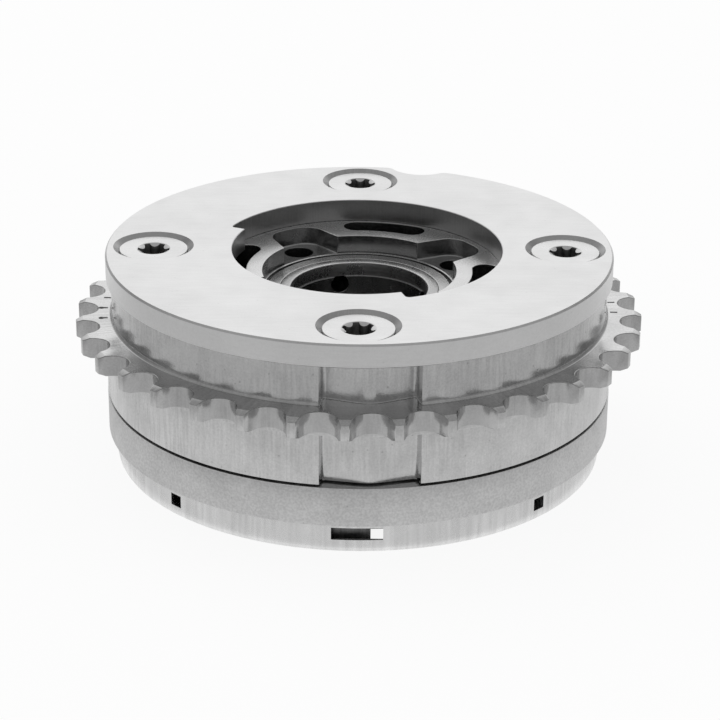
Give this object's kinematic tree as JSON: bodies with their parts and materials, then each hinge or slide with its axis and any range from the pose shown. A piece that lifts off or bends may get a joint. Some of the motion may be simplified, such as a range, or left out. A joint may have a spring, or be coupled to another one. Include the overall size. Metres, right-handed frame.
{
  "type": "cam phaser",
  "caption": "Round vane-type camshaft phaser with a toothed chain sprocket, a screwed cover plate and a lobed central hub bore.",
  "frame": {"origin": "centre of the bounding box's underside: the phaser's axis at the plane it stands on, the rim of its lower cup", "axes": "+Z along the phaser's axis, from the spring cup to the cover plate; -Y to the front, where the housing has its shallow pocket; +X to the right"},
  "size_m": [0.096, 0.096, 0.0363],
  "materials": {
    "sintered_steel": "pressed and sintered steel, satin, with fine upright streaks",
    "ground_steel": "ground flat, fine satin",
    "rotor_steel": "sintered steel, ground on its faces",
    "ring_steel": "turned, satin",
    "turned_steel": "turned, satin",
    "drawn_steel": "drawn and calendered, smooth",
    "screw_steel": "plain steel, smooth",
    "pin_steel": "hardened and ground",
    "spring_steel": "dark tempered strip",
    "seal_plastic": "dark moulded plastic"
  },
  "bodies": {
    "housing": {"sprocket_housing": "sintered_steel", "cover_plate": "ground_steel", "cover_screw_1": "screw_steel", "cover_screw_2": "screw_steel", "cover_screw_3": "screw_steel", "cover_screw_4": "screw_steel", "back_plate": "turned_steel", "locating_dowel": "pin_steel", "spring_cup": "drawn_steel", "return_spring": "spring_steel", "lock_bush": "pin_steel"},
    "rotor": {"rotor": "rotor_steel", "hub_ring": "ring_steel", "lock_pin_cap": "pin_steel", "lock_pin_spring": "spring_steel", "vane_seal_1": "seal_plastic", "seal_spring_1": "spring_steel", "vane_seal_2": "seal_plastic", "seal_spring_2": "spring_steel", "vane_seal_3": "seal_plastic", "seal_spring_3": "spring_steel", "vane_seal_4": "seal_plastic", "seal_spring_4": "spring_steel"},
    "lock_pin": {"lock_pin": "pin_steel"}
  },
  "joints": [
    {"name": "rotor_turn", "type": "hinge", "parent": "housing", "child": "rotor", "pos_m": [0, 0, 0.0222], "axis": [0, 0, 1], "range_deg": [0, 24], "stiffness_Nm_per_rad": 0.6, "springref_deg": -0.57, "deforming": ["return_spring"]},
    {"name": "lock_pin_slide", "type": "slide", "parent": "rotor", "child": "lock_pin", "axis": [0, 0, 1], "range_m": [0, 0.0018], "stiffness_N_per_m": 300, "deforming": ["lock_pin_spring"]}
  ]
}
